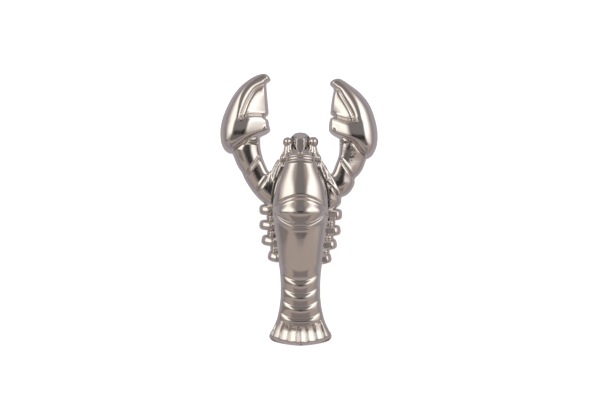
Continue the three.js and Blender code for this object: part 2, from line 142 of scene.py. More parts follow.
class Map:
    """A function of (x, y) kept on a square grid, and read back smoothly."""

    def __init__(self, box, pitch=0.3):
        self.x0, self.y0, self.pitch = box[0], box[1], pitch
        self.nx = int((box[2] - box[0]) / pitch) + 2
        self.ny = int((box[3] - box[1]) / pitch) + 2
        self.x = (self.x0 + np.arange(self.nx) * pitch)[:, None]
        self.y = (self.y0 + np.arange(self.ny) * pitch)[None, :]
        self.v = np.zeros((self.nx, self.ny))

    def like(self, values):
        """Another map on the same grid."""
        other = object.__new__(Map)
        other.__dict__.update(self.__dict__)
        other.v = np.broadcast_to(values, self.v.shape).copy()
        return other

    def __call__(self, x, y):
        u, w = (x - self.x0) / self.pitch, (y - self.y0) / self.pitch
        u, w = np.broadcast_arrays(np.clip(u, 1, self.nx - 3), np.clip(w, 1, self.ny - 3))
        i, j = u.astype(int), w.astype(int)
        x_weights, y_weights = cubic_weights(u - i), cubic_weights(w - j)
        out = np.zeros(u.shape)
        for a in range(4):
            for b in range(4):
                out += x_weights[a] * y_weights[b] * self.v[i + a - 1, j + b - 1]
        return out / 36

    def far(self, path):
        """Distance from a path, the same but negative on its right, and the length along it."""
        best = np.full(self.v.shape, 1e9)
        side = np.zeros(self.v.shape)
        run = np.zeros(self.v.shape)
        done = 0.0
        for (ax, ay), (bx, by) in zip(path, path[1:]):
            dx, dy = bx - ax, by - ay
            size = math.hypot(dx, dy) or 1e-9
            t = np.clip(((self.x - ax) * dx + (self.y - ay) * dy) / size ** 2, 0, 1)
            d = np.hypot(self.x - ax - t * dx, self.y - ay - t * dy)
            near = d < best
            best = np.where(near, d, best)
            side = np.where(near, np.sign(dx * (self.y - ay) - dy * (self.x - ax)), side)
            run = np.where(near, done + t * size, run)
            done += size
        return best, best * side, run

    def inside(self, outline):
        """Distance in from a closed outline, negative outside."""
        loop = np.vstack([outline, outline[:1]])
        d = self.far(loop)[0]
        odd = np.zeros(self.v.shape, bool)
        for (ax, ay), (bx, by) in zip(loop, loop[1:]):
            if ay != by:
                crosses = (ay > self.y) != (by > self.y)
                odd ^= crosses & (self.x < ax + (bx - ax) * (self.y - ay) / (by - ay))
        return self.like(np.where(odd, d, -d))

    def blurred(self, size):
        """The same map smoothed over about size millimetres."""
        r = int(3 * size / self.pitch)
        w = np.exp(-0.5 * (np.arange(-r, r + 1) * self.pitch / size) ** 2)
        w /= w.sum()
        v = self.v
        for axis in (0, 1):
            wide = np.pad(v, [(r, r) if a == axis else (0, 0) for a in (0, 1)], mode="edge")
            n = v.shape[axis]
            v = sum(w[k] * np.take(wide, range(k, k + n), axis=axis) for k in range(2 * r + 1))
        return self.like(v)


# ---------------------------------------------------------------- solids

def ball(x, y, z, at, radii):
    """A ball stretched to three radii."""
    q = [(v - c) / r for v, c, r in zip((x, y, z), at, radii)]
    return (np.sqrt(q[0] ** 2 + q[1] ** 2 + q[2] ** 2) - 1) * min(radii)


def capsule(x, y, z, a, b, ra, rb):
    """A tapering round bar from a to b."""
    a, b = np.array(a, float), np.array(b, float)
    d = b - a
    t = ((x - a[0]) * d[0] + (y - a[1]) * d[1] + (z - a[2]) * d[2]) / (d @ d)
    t = np.clip(t, 0, 1)
    away = np.sqrt((x - a[0] - t * d[0]) ** 2 + (y - a[1] - t * d[1]) ** 2 + (z - a[2] - t * d[2]) ** 2)
    return away - (ra + (rb - ra) * t)


def about_hinge(y, z):
    """Distance from the pin's axis."""
    return np.sqrt((y - HINGE[0]) ** 2 + (z - HINGE[1]) ** 2)


def arch(x, z, half, crown, power):
    """An arch over z = 0, half wide on each side and crown high: -1 in the middle and 0 on it."""
    return ((np.abs(x) / half) ** power + (np.maximum(z, 0) / crown) ** power) ** (1 / power) - 1


def swelling(depth, reach, height, z, power=2.2):
    """A solid on z = 0 that has its full height from reach millimetres in; depth is how far in a point is."""
    q = np.maximum(1 - depth / reach, 0)
    up = np.maximum(z, 0) / height
    return ((q ** power + up ** power) ** (1 / power) - 1) * np.minimum(reach, height)


def gradient(field, p, e=0.02):
    """The field's value at each point, and how it changes along each axis."""
    value = field(p[:, 0], p[:, 1], p[:, 2])
    slope = np.empty_like(p)
    for a in range(3):
        q = p.copy()
        q[:, a] += e
        slope[:, a] = (field(q[:, 0], q[:, 1], q[:, 2]) - value) / e
    return value, slope


def settled(field, points, pitch):
    """The points moved on to the field's zero surface, each staying near its own cell."""
    home = points.copy()
    for _ in range(3):
        value, slope = gradient(field, points)
        move = -value[:, None] * slope / np.maximum((slope ** 2).sum(1), 1e-4)[:, None]
        points = points + np.clip(move, -0.5 * pitch, 0.5 * pitch)
        points = np.clip(points, home - 0.9 * pitch, home + 0.9 * pitch)
    return points


def faces_across(neg, number):
    """A four-sided face wherever neighbouring grid points lie on different sides of the surface."""
    size = [count - 1 for count in neg.shape]
    unit = np.eye(3, dtype=int)
    faces = []
    for a in range(3):
        b, c = unit[(a + 1) % 3], unit[(a + 2) % 3]
        first = [slice(1, s) for s in size]
        first[a] = slice(0, size[a])
        ahead = list(first)
        ahead[a] = slice(1, size[a] + 1)
        here, there = neg[tuple(first)], neg[tuple(ahead)]
        for flip in (False, True):
            at = np.argwhere((here & ~there) if not flip else (~here & there))
            at += np.array([s.start for s in first])
            ring = [at, at - b, at - b - c, at - c]
            quad = np.stack([number[tuple(r.T)] for r in ring], 1)
            faces.append(quad[:, ::-1] if flip else quad)
    faces = np.vstack(faces)
    return faces[(faces >= 0).all(1)]


def mesh_of(name, field, low, high, pitch):
    """One mesh of the field's zero surface: a vertex in each cell it passes, moved exactly on to it."""
    low, high = np.array(low, float), np.array(high, float)
    n = np.ceil((high - low) / pitch).astype(int) + 1
    axes = [low[a] + np.arange(n[a]) * pitch for a in range(3)]
    f = field(axes[0][:, None, None], axes[1][None, :, None], axes[2][None, None, :])
    f = np.broadcast_to(f, tuple(n)).astype(np.float32)
    neg = f < 0
    # The cells that the surface passes have corners on both sides of it.
    corners = [(i, j, k) for i in (0, 1) for j in (0, 1) for k in (0, 1)]
    part = {c: neg[c[0]:n[0] - 1 + c[0], c[1]:n[1] - 1 + c[1], c[2]:n[2] - 1 + c[2]] for c in corners}
    count = sum(part[c].astype(np.int8) for c in corners)
    cells = np.argwhere((count > 0) & (count < 8))
    number = np.full(tuple(n - 1), -1)
    number[tuple(cells.T)] = np.arange(len(cells))
    # Each cell's vertex starts at the middle of the places where its edges are crossed.
    total = np.zeros((len(cells), 3))
    hits = np.zeros((len(cells), 1))
    for c in corners:
        for a in range(3):
            if c[a]:
                continue
            d = list(c)
            d[a] = 1
            fa = f[tuple((cells + c).T)]
            fb = f[tuple((cells + d).T)]
            on = (fa < 0) != (fb < 0)
            t = np.where(on, fa / np.where(on, fa - fb, 1), 0)
            p = np.array(c) + t[:, None] * (np.array(d) - c)
            total += p * on[:, None]
            hits += on[:, None]
    points = settled(field, low + (cells + total / hits) * pitch, pitch)
    faces = faces_across(neg, number)
    made = bpy.data.meshes.new(name)
    made.vertices.add(len(points))
    made.vertices.foreach_set("co", (points * MM).astype(np.float32).ravel())
    made.loops.add(faces.size)
    made.loops.foreach_set("vertex_index", faces.ravel().astype(np.int32))
    made.polygons.add(len(faces))
    made.polygons.foreach_set("loop_start", np.arange(0, faces.size, 4, dtype=np.int32))
    made.update(calc_edges=True)
    made.validate()
    made.polygons.foreach_set("use_smooth", np.ones(len(made.polygons), bool))
    piece = bpy.data.objects.new(name, made)
    bpy.context.collection.objects.link(piece)
    mark_hollows(piece, pitch)
    print(name, len(points), "vertices", len(faces), "faces")
    return piece


def mark_hollows(piece, pitch):
    """Store how sharply the surface is hollowed at each vertex, for the painted shade that darkens corners
    and grooves.
    """
    made = piece.data
    n = len(made.vertices)
    at = np.empty(3 * n, np.float32)
    made.vertices.foreach_get("co", at)
    at = at.reshape(n, 3) / MM
    out = np.empty(3 * n, np.float32)
    made.vertices.foreach_get("normal", out)
    out = out.reshape(n, 3)
    ends = np.empty(2 * len(made.edges), np.int32)
    made.edges.foreach_get("vertices", ends)
    a, b = ends.reshape(-1, 2).T
    count = np.bincount(a, minlength=n) + np.bincount(b, minlength=n)
    count = np.maximum(count, 1)
    around = np.stack([np.bincount(a, at[b, k], n) + np.bincount(b, at[a, k], n) for k in range(3)], 1)
    bend = ((around / count[:, None] - at) * out).sum(1) / pitch ** 2
    for _ in range(3):  # smoothed over the neighbours
        bend = 0.5 * bend + 0.5 * (np.bincount(a, bend[b], n) + np.bincount(b, bend[a], n)) / count
    hollow = made.attributes.new("hollow", "FLOAT", "POINT")
    hollow.data.foreach_set("value", np.clip(bend * 1.6 - 0.25, 0, 1).astype(np.float32))


# ---------------------------------------------------------------- claws

# Outline, crest line, groove along the finger, line across the palm, and the tooth-like bump. "turn" is 1
# for a claw that curls clockwise. The palm is flat for "palm_flat", and "palm_soft" rounds the flat's end.
CLAWS = {
    "left": {
        "outline": [(-24.1, 88.4), (-21.4, 87.4), (-19.6, 84.8), (-20.2, 83.4), (-22.2, 82.1), (-22.3, 79.4),
                    (-21.9, 74), (-21.2, 66), (-21.1, 61.6), (-23.2, 59.7), (-21.2, 58), (-20.6, 54.6),
                    (-19.8, 51.2), (-22, 48.9), (-26.1, 46.9), (-34.4, 41.8), (-39.6, 38.1), (-43.9, 35.9),
                    (-47.9, 36.6), (-50.6, 39.4), (-52.2, 44), (-52.6, 51), (-51.4, 58), (-49, 64.7),
                    (-45, 72.6), (-40, 79.3), (-34.4, 84.1), (-28.9, 87.2)],
        "crest": [(-55, 28), (-46.6, 40.8), (-43.7, 47.3), (-41.5, 56.4), (-40.4, 61.6), (-39.3, 68.1),
                  (-37.5, 74), (-33.9, 79.9), (-28.7, 84.4), (-19, 90)],
        "finger": [(-22.5, 80.9), (-26.3, 79.4), (-30.3, 76.6), (-34.2, 70.1), (-36.8, 63.6), (-38.4, 58.9)],
        "palm": [(-38.2, 58.8), (-33.6, 60.3), (-28, 60.6), (-18, 59.9)],
        "bump": (-22.2, 51.9),
        "turn": 1,
        "palm_flat": 6.6,
        "palm_soft": 6,
    },
    "right": {
        "outline": [(20.2, 83.7), (23.4, 85.1), (26.5, 84.9), (32.1, 81.3), (39.2, 75.8), (45.1, 68.3),
                    (48.7, 59.2), (50.5, 50.1), (50.1, 41.4), (47.1, 34.7), (42.7, 32.3), (38.6, 34.6),
                    (33.3, 41), (28.6, 44), (23.8, 46.6), (20.2, 48.9), (18.6, 51.8), (19.4, 58.8),
                    (22.2, 60), (20.2, 61.4), (19.6, 62.7), (20.6, 71.5), (21.8, 77.8), (21.2, 79.2),
                    (19.9, 80.5), (19.2, 82)],
        "crest": [(50, 27), (45.5, 35), (42.1, 42.7), (40.4, 49.2), (39.1, 56.4), (37.2, 64.5), (33.6, 72.4),
                  (29, 78.9), (24.5, 82.8), (17.5, 87.5)],
        "finger": [(21, 78.6), (25.1, 76.6), (28.1, 71.4), (32.5, 63.6), (34.8, 58)],
        "palm": [(35.2, 57.4), (29.8, 57.6), (25, 59), (17, 61)],
        "bump": (20.9, 50.9),
        "turn": -1,
        "palm_flat": 6.5,
        "palm_soft": 40,
    },
}

# Height of a claw's crest, from the wrist (0) to the tip (1).
CLAW_CREST = Line([
    (0, 14.0), (0.14, 15.8), (0.27, 16.4), (0.4, 16.1), (0.6, 15.2), (0.8, 13.2), (0.95, 10.8), (1, 10),
])
MILLING = 1.5  # spacing of the fine marks in the finger's groove


def claw_maps(claw):
    """One claw's box, and maps of the depth from its outline, its height, its rounded edge and its relief."""
    outline = curve(claw["outline"], closed=True, per=6)
    box = (*(outline.min(0) - 4), *(outline.max(0) + 4))
    grid = Map(box)
    depth = grid.inside(outline).blurred(0.4)
    inner = grid.far(curve(claw["crest"]))[1] * -claw["turn"]  # how far towards the other claw
    along = (grid.y - outline[:, 1].min()) / np.ptp(outline[:, 1])
    palm_far, behind, _ = grid.far(curve(claw["palm"]))
    behind = -behind * claw["turn"]
    palm = step(behind, -1.0, 3.5)
    groove_far, past_groove, run = grid.far(curve(claw["finger"]))
    # The thumb side falls away evenly from the crest, and more beyond the groove.
    blade = np.maximum(past_groove * claw["turn"] - 1, 0) * (1 - palm)
    ahead = np.maximum(inner - blade, -2.0)
    slope = 0.36 * (np.sqrt(ahead ** 2 + 13) - 3.6) + 0.12 * blade + 0.016 * blade ** 2
    soft = claw["palm_soft"]
    dome = 0.34 * (np.sqrt(np.maximum(inner - claw["palm_flat"], 0) ** 2 + soft) - math.sqrt(soft))
    height = np.maximum(CLAW_CREST(along) - slope * (1 - palm) - dome * palm - CLAW_WALL, 2)
    edge = 1.7 + 5.0 * step(along, 0.36, 0.16)
    reach = np.maximum(np.maximum(depth.v, 0) + np.maximum(-inner, 0), edge)
    relief = 0.85 * bell(groove_far, 1.0) * (1 + 0.08 * np.sin(2 * math.pi * run / MILLING))
    relief = relief + 1.4 * step(palm_far, 1.0, 0.3)
    relief = relief - 0.3 * bell(behind - 1.5, 0.6) - 0.2 * bell(behind + 1.5, 0.5)
    bump_x, bump_y = claw["bump"]
    relief = relief - 0.8 * bell(np.hypot(grid.x - bump_x, grid.y - bump_y), 1.3)
    relief = grid.like(relief).blurred(0.22)
    return box, depth, grid.like(height).blurred(0.9), grid.like(reach).blurred(0.8), relief


def make_claw(side):
    box, depth, height, reach, relief = claw_maps(CLAWS[side])
    arms = arm_depth(Map(box))

    def field(x, y, z):
        edge, rise, high = depth(x, y), reach(x, y), height(x, y)
        body = swelling(edge, rise, high, z - CLAW_WALL + relief(x, y))
        # Open underneath, and resting on the arm that ends inside.
        inside = swelling(edge - CLAW_THICK, rise, np.maximum(high - 3.0, 1), z - CLAW_WALL)
        body = cut(body, -inside, 0.5)
        body = cut(body, -cut(-arms(x, y), z - 2.2, 0.2), 0.2)
        return cut(body, FLOOR - z, 0.8)

    low = (box[0] + 2, box[1] + 2, -0.8)
    high = (box[2] - 2, box[3] - 2, 17.6)
    return mesh_of(f"{side}_claw_casting", field, low, high, 0.42)


# ---------------------------------------------------------------- back lever

# Half width and height of the back's arch along y.
HALF_WIDTH = Line([
    (-92, 12), (-86, 17), (-84, 19.5), (-82.5, 20.0), (-79, 18.6), (-72.7, 15.8), (-66, 14.1),
    (-60, 13.2), (-53, 12.9), (-45, 13.1), (-37, 13.9), (-27, 15.2), (-14, 17.1), (-2, 18.5),
    (5.5, 18.3), (12, 17.4), (18.6, 15.6), (26, 12.2), (30, 10.5), (36, 9.4), (40, 9),
])
CROWN = Line([
    (-92, 8.0), (-84, 6.7), (-79, 5.9), (-72.7, 6.6), (-66, 7.5), (-60, 8.2), (-53, 8.8), (-45, 9.6),
    (-37, 10.6), (-27, 12), (-14, 13.5), (-2, 14.1), (5.5, 13.8), (12, 13), (18.6, 11.6), (26, 9.4),
    (30, 8.2), (36, 6.6), (40, 5.4),
])
RINGS = [-47.0, -55.3, -63.5, -71.6]  # y of the valleys between the abdomen's rings
FAN_EDGE = -76.6  # y of the arc where the fan's ribs begin
TAIL_CENTRE = -48.7  # y of the centre of the fan's round end
RIB_CENTRE = -28.0  # y of the point that the fan's ribs spread from
RIB_ANGLE = 0.0985
RIB_CREST = 0.26  # where a rib's crest lies, as a share of its width


def ahead_of_fan(x, y):
    """Distance ahead of the arc where the fan's ribs begin."""
    return y - 4.4 * (x / 15) ** 2 - FAN_EDGE


def back_relief(grid):
    """How far the back's surface lies under its plain arch."""
    x, y = grid.x, grid.y
    out = np.abs(x) / HALF_WIDTH(y)
    v = y - 5.6 * out ** 2  # the rings curve like a smile
    # Rings of the abdomen: each rises quickly from a sharp valley, and falls slowly to the next one.
    low = 0.9 * step(v, RINGS[0] + 9, RINGS[0])
    for edge, end, high in zip(RINGS, RINGS[1:] + [FAN_EDGE - 0.6], (2.8, 2.8, 2.8, 2.2)):
        t = np.clip((edge - v) / (edge - end), 0, 1)
        low = low - high * (1 - np.exp(-t / 0.46)) * (1 - t) * (1 - 0.6 * out ** 2)
    low = low + 0.4 * step(ahead_of_fan(x, y), 2.2, 0.8)
    # The lens-shaped joint between the two shells, with a raised edge and a valley on both sides.
    wide = np.abs(x / 18.4)
    lower_y = -10.6 + 9.2 * wide ** 2.2
    upper_y = 6.4 - 8.0 * wide ** 2.0
    lower, upper = y - lower_y, y - upper_y
    low = low - 0.9 * bell(lower + 1.3, 1.5) + 0.6 * bell(lower - 0.8, 0.8)
    low = low + 0.7 * bell(upper - 1.0, 1.3) - 0.25 * bell(upper + 0.9, 0.5)
    across = (y - (upper_y + lower_y) / 2) / np.maximum((upper_y - lower_y) / 2 - 0.8, 0.5)
    low = low - 1.7 * np.maximum(1 - across ** 2, 0) ** 1.5 * step(wide, 1.0, 0.6)
    # The collar's two rings.
    band = y + 0.010 * x ** 2
    low = low - 0.7 * step(band, 29.6, 30.6)
    low = low - 0.8 * bell(band - 34.3, 0.8) - 0.9 * bell(band - 31.0, 0.75)
    return low


def fan_relief(grid):
    """The tail fan's ribs, spread from a point up the body."""
    x, y = grid.x, grid.y
    phase = (np.arctan2(x, RIB_CENTRE - y) + 0.028) / RIB_ANGLE
    share = phase - np.floor(phase)
    share = np.where(x > 0, share, 1 - share)
    # Each rib falls gently outwards from its crest, and steeply to the valley on its inner side.
    ridge = np.where(share > RIB_CREST, (1 - share) / (1 - RIB_CREST), share / RIB_CREST)
    ridge = ridge - 0.3 * bell(share, 0.08) - 0.3 * bell(1 - share, 0.08)
    on = step(ahead_of_fan(x, y), 0.9, -0.6) * step(np.hypot(x, y - TAIL_CENTRE), 40.2, 38.8)
    on = on * step(np.abs(x) / HALF_WIDTH(y), 0.99, 0.93)
    return grid.like((0.6 - 1.3 * ridge) * on)


def back_shell(x, y, z, low):
    """The shell from the collar to the fan; low is how far it lies under its plain arch."""
    half, crown = HALF_WIDTH(y), CROWN(y)
    power = 2.3 + 2.4 * step(y, -70, -80)
    shell = arch(x, z - BACK_RIM + low, half, crown, power) * np.minimum(half, crown)
    shell = cut(shell, y - 35.9, 1.2)
    tail = np.hypot(x, np.minimum(y - TAIL_CENTRE, 0))
    shell = cut(shell, tail - 40.6, 1.0)
    return cut(shell, (tail - 37.9) * 0.88 + (z - 16.2) * 0.47, 1.2)


def with_head(body, x, y, z):
    """The body with the face in front of the collar, the beak over the nose, and the eyes on their stalks."""
    body = union(body, ball(x, y, z, (0, 33.4, 10), (9.6, 7.4, 7.5)), 1.6)
    beak = cut(cut(z - 17.9 + 0.1 * (y - 40), np.abs(x) - 2.7, 0.6), y - 45.3 + 0.16 * x ** 2, 0.8)
    beak = cut(cut(beak, 12.0 - z, 0.5), 36.0 + 0.3 * x ** 2 - y, 0.8)
    body = union(body, beak, 0.5)
    for side in (-1, 1):
        stalk = capsule(x, y, z, (side * 9.0, 34, 11), (side * 8.5, 41.8, 11.0), 2.2, 1.8)
        eye = ball(x, y, z, (side * 8.3, HINGE[0] + 0.2, HINGE[1] + 1.0), (3.3 + 0.15 * side,) * 3)
        knob = ball(x, y, z, (side * 11.6, 32.7, 11.4), (1.9, 2.2, 2.1))
        cheek = capsule(x, y, z, (side * 7.2, 37, 11.8), (side * 6.9, 41.4, 11.6), 2.2, 1.9)
        body = union(union(body, knob, 0.9), union(union(stalk, eye, 0.6), cheek, 0.4), 0.7)
    return body


def hollowed_back(body, x, y, z):
    """The body with the nose's slot, the pin's hole, a hollow handle and a toothed jaw."""
    hinge = about_hinge(y, z)
    body = cut(body, -cut(np.abs(x) - SLOT_HALF, hinge - 7.0, 0.3), 0.3)
    body = cut(body, EYE_HOLE_R - hinge, 0.15)
    half, crown = np.maximum(HALF_WIDTH(y) - 2.6, 1), np.maximum(CROWN(y) - 2.8, 1)
    inner = arch(x, z - BACK_RIM, half, crown, 2.3) * 6
    inner = cut(cut(inner, HANDLE[0] - y, 1.5), y - HANDLE[1], 1.5)
    body = cut(body, -inner, 0.6)
    teeth = 14.2 - 1.2 * step(11.2 - np.abs(x), 0, 0.8) * tooth_rows(y)
    gap = cut(cut(z - teeth, JAW[0] - y, 0.3), y - JAW[1], 0.3)
    body = cut(body, -gap, 0.3)
    return cut(body, BACK_RIM - z, 0.5)


def make_back():
    grid = Map((-26, -94, 26, 52), 0.25)
    relief = grid.like(back_relief(grid)).blurred(0.25)
    relief = relief.like(relief.v + fan_relief(grid).blurred(0.22).v)

    def field(x, y, z):
        body = with_head(back_shell(x, y, z, relief(x, y)), x, y, z)
        return hollowed_back(body, x, y, z)

    return mesh_of("back_casting", field, (-23, -90.6, 6.0), (23, 47.4, 25.4), 0.38)


def tooth_rows(y):
    """Rows of teeth across the jaws, as a rounded triangle wave from 0 to 1."""
    t = (y + 5.5) / TOOTH_PITCH
    return 1 - np.sqrt((2 * np.abs(t - np.floor(t) - 0.5)) ** 2 + 0.01)


# ---------------------------------------------------------------- belly lever

# The right half of the slab's outline, from the nose to the tail.
BELLY = [
    (0, 49.6), (3.4, 49.0), (6.4, 46.2), (9.2, 41.6), (11.3, 38.2), (13.4, 32.9), (15.3, 27.7),
    (17.4, 21.8), (18.4, 8), (18.2, -4), (16.8, -15), (15, -27), (13.8, -37), (13.0, -45), (12.7, -53),
    (13.0, -60), (14.0, -66), (15.6, -72.7), (18.2, -79), (20.2, -82.2), (20.2, -84), (18.8, -85.9),
    (15.6, -87.2), (7.5, -88.8), (0, -89.3),
]
# Outlines of the arms; each starts and ends inside its claw.
LEFT_ARM = [
    (-35, 55), (-43, 44), (-46.4, 38), (-44.7, 36), (-41.4, 27.9), (-38.2, 23.0), (-36.9, 19.6),
    (-32.3, 12.1), (-27.3, 6.2), (-22, 2.0), (-14, -3), (-10, 8), (-13, 18), (-18.4, 22.6),
    (-20.4, 23.6), (-22.4, 27.2), (-24.8, 33.5), (-26.3, 40.2), (-26.6, 47), (-27, 53),
]
RIGHT_ARM = [
    (34, 54), (43, 40), (45.2, 35.6), (43.2, 32.2), (40.9, 26), (37.8, 21.5), (35.6, 19.6),
    (35.4, 15.6), (32.4, 10.6), (28.9, 7.9), (26.6, 7.6), (26.8, 4.2), (24.2, 0.8), (14, -4), (10, 8),
    (13, 18), (18.6, 22.4), (20.6, 23.0), (23.0, 29.0), (25.2, 35.3), (25.6, 42.6), (25.4, 47),
    (25.8, 52),
]
# The last points of each arm run along the side that faces the head.
INNER_EDGES = [LEFT_ARM[-9:], RIGHT_ARM[-8:]]
# Lines across the left (-1) and right (1) arm where its segments meet.
ARM_JOINTS = {
    -1: [((-36, 21.6), (-27.6, 33)), ((-22, 20.0), (-30, 8.2))],
    1: [((25.6, 32.2), (35.6, 18.6)), ((17.4, 17), (28.2, 5.2))],
}
# Legs: centre x, y; half sizes; turn in degrees.
LEGS = [
    (-22.6, -0.7, 4.6, 3.6, 0), (-21.8, -10.8, 5.4, 3.5, -2),
    (-20.4, -21.0, 5.4, 3.7, -8), (-17.0, -31.4, 4.6, 3.7, -14),
    (22.6, -3.9, 4.9, 3.9, 0), (21.2, -14.4, 5.3, 3.7, 4),
    (18.8, -23.6, 5.2, 3.7, 8), (15.8, -32.8, 4.6, 3.6, 12),
]
# Centres of the low webs between the legs.
WEBS = [(-19.2, -5.8), (-18.8, -15.9), (-16.8, -26.2), (19.8, -9.2), (18.6, -19.1), (16.0, -28.3)]
SCREWS = [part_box(f"{side}_claw_screw") for side in ("left", "right")]
# Thin folded feelers between the head and the arm roots, as points along each strand.
LEFT_FEELERS = [
    [(-11.8, 30.4, 8.6), (-13.9, 25, 9.6), (-15.8, 19, 9.8), (-17.4, 12, 9.6), (-18.6, 4, 9.0)],
    [(-13.2, 31, 8.8), (-15.6, 26, 10.2), (-17.2, 20, 10.6), (-18.9, 13, 10.0), (-19.9, 6, 9.0)],
    [(-14.6, 31.2, 8.2), (-17.4, 26, 9.4), (-19.2, 20.5, 10.2), (-20.4, 14, 10.4), (-21.8, 7, 9.2)],
    [(-17.0, 25, 8.4), (-20.4, 22.4, 10.0), (-21.6, 17.6, 10.7), (-24.4, 12.6, 10.4)],
]
RIGHT_FEELERS = [
    [(11.8, 30.4, 8.6), (13.9, 25, 9.6), (15.9, 19, 9.8), (17.5, 12, 9.6), (18.7, 4, 9.0)],
    [(13.4, 31, 8.6), (15.9, 26, 10.0), (17.6, 20, 10.4), (18.9, 13, 10.0), (19.8, 5, 9.0)],
    [(15.4, 28, 8.6), (17.8, 23.6, 10.0), (20.2, 19, 10.6), (23.0, 13.6, 10.7), (25.2, 9.6, 10.0)],
    [(16.6, 21, 9.4), (19.0, 16.4, 10.4), (21.0, 11, 10.4), (22.4, 5.6, 9.6)],
]
FEELER_R = 0.85
STRANDS = [curve(line, per=4) for line in LEFT_FEELERS + RIGHT_FEELERS]


def arm_depth(grid):
    """Distance in from the nearer arm's outline."""
    left, right = (grid.inside(curve(arm, closed=True, per=6)).v for arm in (LEFT_ARM, RIGHT_ARM))
    return grid.like(np.maximum(left, right)).blurred(0.8)


def leg_field(x, y, z, leg):
    """A blocky leg end, sloping outwards; those on the right have a flat recess on the inner side."""
    cx, cy, sx, sy, turn = leg
    c, s = math.cos(math.radians(turn)), math.sin(math.radians(turn))
    out = math.copysign(1, cx)
    u, w = ((x - cx) * c + (y - cy) * s) * out, -(x - cx) * s + (y - cy) * c
    top = np.maximum(z + 0.22 * u + 0.12 * w, 0)
    d = (np.abs(u / sx) ** 3.2 + np.abs(w / sy) ** 3.2 + (top / LEG_HEIGHT) ** 3.0) ** (1 / 3)
    d = (d - 1) * min(sx, sy)
    if cx > 0:
        recess = cut(cut(u - 0.9, w - 1.4, 0.4), cut(-2.7 - w, 6.9 + 0.10 * u - z, 0.4), 0.4)
        d = cut(d, -recess, 0.5)
    return d


def feelers(x, y, z):
    """All the strands, each a chain of short round bars."""
    best = None
    for path in STRANDS:
        for a, b in zip(path[:-1:2], path[2::2]):
            d = capsule(x, y, z, a, b, FEELER_R, FEELER_R)
            best = d if best is None else np.minimum(best, d)
    return best


def arm_relief(grid):
    """How far the arms' surface lies under its plain swelling: joint lines and rough casting skin."""
    relief = np.zeros(grid.v.shape)
    for side, joints in ARM_JOINTS.items():
        for joint in joints:
            far, signed, _ = grid.far(np.array(joint))
            relief = relief + 0.9 * bell(signed, 0.6) * step(far, 1.6, 1.0)
            relief = relief - 0.7 * bell(signed - side * 1.2, 0.6) * step(far, 2.2, 1.4)
    # The casting is rough and tilted where the right arm meets its claw, and a little rough elsewhere.
    lumps = np.sin(2.3 * grid.x + 1.6 * np.sin(1.5 * grid.y))
    lumps = lumps * np.sin(2.1 * grid.y + 1.4 * np.sin(1.9 * grid.x))
    rough = bell(np.hypot(grid.x - 35, (grid.y - 36) * 0.8), 7.5)
    relief = relief + lumps * (0.012 + 0.032 * rough)
    relief = relief + rough * (0.16 * (grid.x - 34) - 0.13 * (grid.y - 36))
    return grid.like(relief).blurred(0.2)


def with_nose(body, x, y, z, depth):
    """The body with room for the back's head, and the nose that turns inside it."""
    hinge = about_hinge(y, z)
    head = cut(cut(6.3 - z, np.abs(x) - 14.5, 0.3), 35.2 - y, 0.3)
    head = cut(head, 4.6 - np.abs(x), 0.3)
    body = cut(body, -head, 0.5)
    # The nose's front is a steep snout that spreads before the eyes.
    front = cut((y - 45.2) * 0.87 + (z - 16.4) * 0.5,
                (np.abs(x) - 2.9 + y - 45.2) * 0.61 + (z - 16.4) * 0.5, 0.8)
    nose = (((np.abs(x) / NOSE_HALF) ** 2.6 + (hinge / 6.6) ** 2.6) ** (1 / 2.6) - 1) * NOSE_HALF
    nose = cut(nose, front, 0.5)
    snout = cut(cut(front, -depth, 0.8), 46.4 - y, 0.3)
    snout = cut(snout, FLOOR - z, 3.0)
    body = union(body, union(nose, snout, 0.3), 0.3)
    return cut(body, NOSE_HOLE_R - hinge, 0.15)


def hollowed_belly(body, x, y, z, depth):
    """The body cut down under the back lever, with a hollow handle, a toothed jaw and screw holes."""
    over = cut(RIM - z, np.abs(x) - HALF_WIDTH(y) - 0.45, 0.3)
    over = cut(over, y - 35.0, 0.3)
    body = cut(body, -over, 0.4)
    pocket = cut(cut(2.6 - z, 2.7 - depth, 1.2), cut(HANDLE[0] - y, y - HANDLE[1], 0.5), 1.5)
    body = cut(body, -pocket, 0.6)
    teeth = 5.8 + 1.2 * step(13 - np.abs(x), 0, 0.8) * tooth_rows(y)
    gap = cut(teeth - z, np.abs(x) - HALF_WIDTH(y) + 1.4, 0.3)
    gap = cut(gap, cut(JAW[0] - y, y - JAW[1], 0.3), 0.3)
    body = cut(body, -gap, 0.3)
    for low, high in SCREWS:
        away = np.hypot(x - (low[0] + high[0]) / 2 / MM, y - (low[1] + high[1]) / 2 / MM)
        sunk = (SCREW_HEAD_R - SCREW_SHANK_R) * np.clip((z - 0.3) / 1.5, 0, 1)
        hole = cut(away - SCREW_HEAD_R + sunk, z - 10.3, 0.1)
        body = cut(body, -hole, 0.1)
    return body


